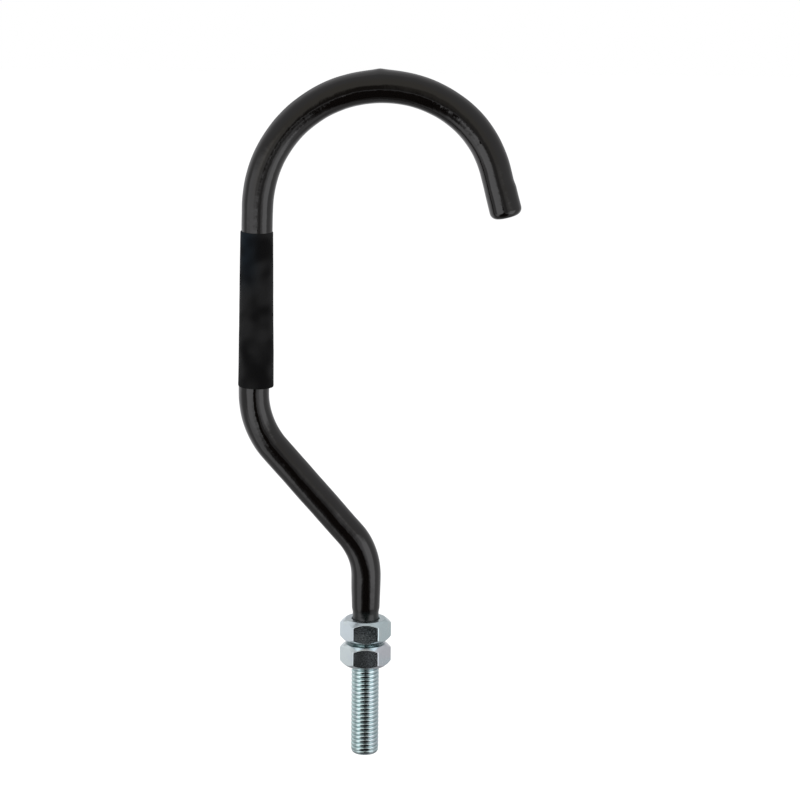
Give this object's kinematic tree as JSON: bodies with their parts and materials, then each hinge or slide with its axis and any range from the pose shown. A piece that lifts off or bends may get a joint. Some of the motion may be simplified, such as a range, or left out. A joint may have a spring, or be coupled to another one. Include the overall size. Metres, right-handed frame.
{
  "type": "threaded storage hook",
  "caption": "Bent steel storage hook with a black vinyl dip coat, an offset shank, a plain label sleeve and a threaded stud carrying hex nuts.",
  "frame": {"origin": "stud axis where the free thread starts, 0.1 mm under the lower face of the lower nut", "axes": "+Z along the stud's axis towards the crook, which is up in the picture; +X towards the crook's tip, in the plane of the bends; +Y away from the camera. On a ceiling the part hangs the other way up, with the stud on top."},
  "size_m": [0.0984, 0.0162, 0.2466],
  "materials": {
    "zinc_steel": "bright zinc plate with a rolled thread",
    "zinc_nut": "bright zinc plate, slightly blue",
    "black_vinyl": "glossy dipped vinyl with soft ripples",
    "black_film": "matte black blank film"
  },
  "bodies": {
    "hook": {"hook_rod": "zinc_steel", "vinyl_coating": "black_vinyl", "shank_label": "black_film", "upper_nut": "zinc_nut"},
    "lower_nut": {"lower_nut": "zinc_nut"}
  },
  "joints": [
    {"name": "lower_nut_travel", "type": "slide", "parent": "hook", "child": "lower_nut", "axis": [0, 0, -1], "range_m": [0, 0.03115]}
  ]
}
